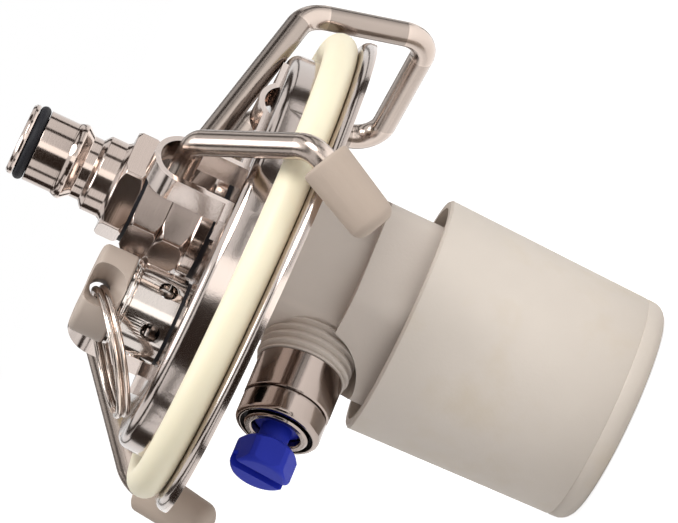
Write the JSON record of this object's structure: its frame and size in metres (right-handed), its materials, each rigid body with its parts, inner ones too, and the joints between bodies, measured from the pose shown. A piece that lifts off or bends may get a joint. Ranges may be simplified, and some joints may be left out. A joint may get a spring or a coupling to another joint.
{
  "type": "keg carbonation cap",
  "caption": "Oval steel keg lid with a wire bail, a capped relief valve with a pull ring, an inlet post, and a float valve with a spray nozzle and hanging float cup.",
  "frame": {"origin": "middle of the lid in the plane of its sealing ring, where it sits in the keg's mouth", "axes": "+Z out of the keg, towards the post; +X along the lid's long axis, towards the bail's grip; +Y across the lid"},
  "size_m": [0.126, 0.1208, 0.1362],
  "materials": {
    "polished_steel": "polished",
    "wire_steel": "polished",
    "turned_steel": "turned",
    "bright_steel": "bright",
    "dark_steel": "turned",
    "spring_steel": "bright wire",
    "seal_cream": "smooth silicone",
    "foot_rubber": "matt",
    "black_rubber": "matt",
    "cap_plastic": "matt",
    "body_plastic": "satin",
    "float_plastic": "matt",
    "nozzle_blue": "satin"
  },
  "bodies": {
    "lid": {"lid_shell": "polished_steel", "lid_seal": "seal_cream", "strap_near": "polished_steel", "strap_far": "polished_steel", "post_body": "turned_steel", "post_oring": "black_rubber", "post_gasket": "black_rubber", "post_spring": "spring_steel", "inlet_adapter": "turned_steel", "bulkhead_fitting": "turned_steel", "bulkhead_gasket": "black_rubber", "relief_body": "bright_steel", "relief_gasket": "black_rubber", "relief_nut": "turned_steel", "relief_spring": "spring_steel", "valve_body": "body_plastic", "valve_gasket": "black_rubber", "valve_plug": "body_plastic", "nozzle_adapter": "turned_steel", "nozzle_ring": "turned_steel", "nozzle_oring": "black_rubber", "spray_nozzle": "nozzle_blue"},
    "bail": {"bail_wire": "wire_steel", "foot_cap_near": "foot_rubber", "foot_cap_far": "foot_rubber"},
    "poppet": {"post_poppet": "dark_steel", "poppet_seal": "black_rubber"},
    "relief": {"relief_cap": "cap_plastic", "relief_plunger": "dark_steel", "relief_seal": "black_rubber"},
    "ring": {"pull_ring": "spring_steel"},
    "float": {"float_cup": "float_plastic", "float_deck": "float_plastic", "float_stem": "dark_steel", "float_seal": "black_rubber"}
  },
  "joints": [
    {"name": "bail_swing", "type": "hinge", "parent": "lid", "child": "bail", "pos_m": [-0.00625, 0, 0.0203], "axis": [0, -1, 0], "range_deg": [0, 100]},
    {"name": "poppet_press", "type": "slide", "parent": "lid", "child": "poppet", "axis": [0, 0, -1], "range_m": [0, 0.003], "stiffness_N_per_m": 400, "springref_m": -0.003, "deforming": ["post_spring"]},
    {"name": "relief_lift", "type": "slide", "parent": "lid", "child": "relief", "axis": [0, 0, 1], "range_m": [0, 0.0025], "stiffness_N_per_m": 800, "springref_m": -0.005, "deforming": ["relief_spring"]},
    {"name": "ring_swing", "type": "hinge", "parent": "relief", "child": "ring", "pos_m": [-0.0237, 0, 0.025], "axis": [0.5446, 0.8387, 0], "range_deg": [0, 110]},
    {"name": "float_slide", "type": "slide", "parent": "lid", "child": "float", "axis": [0, 0, 1], "range_m": [0, 0.0035]}
  ]
}
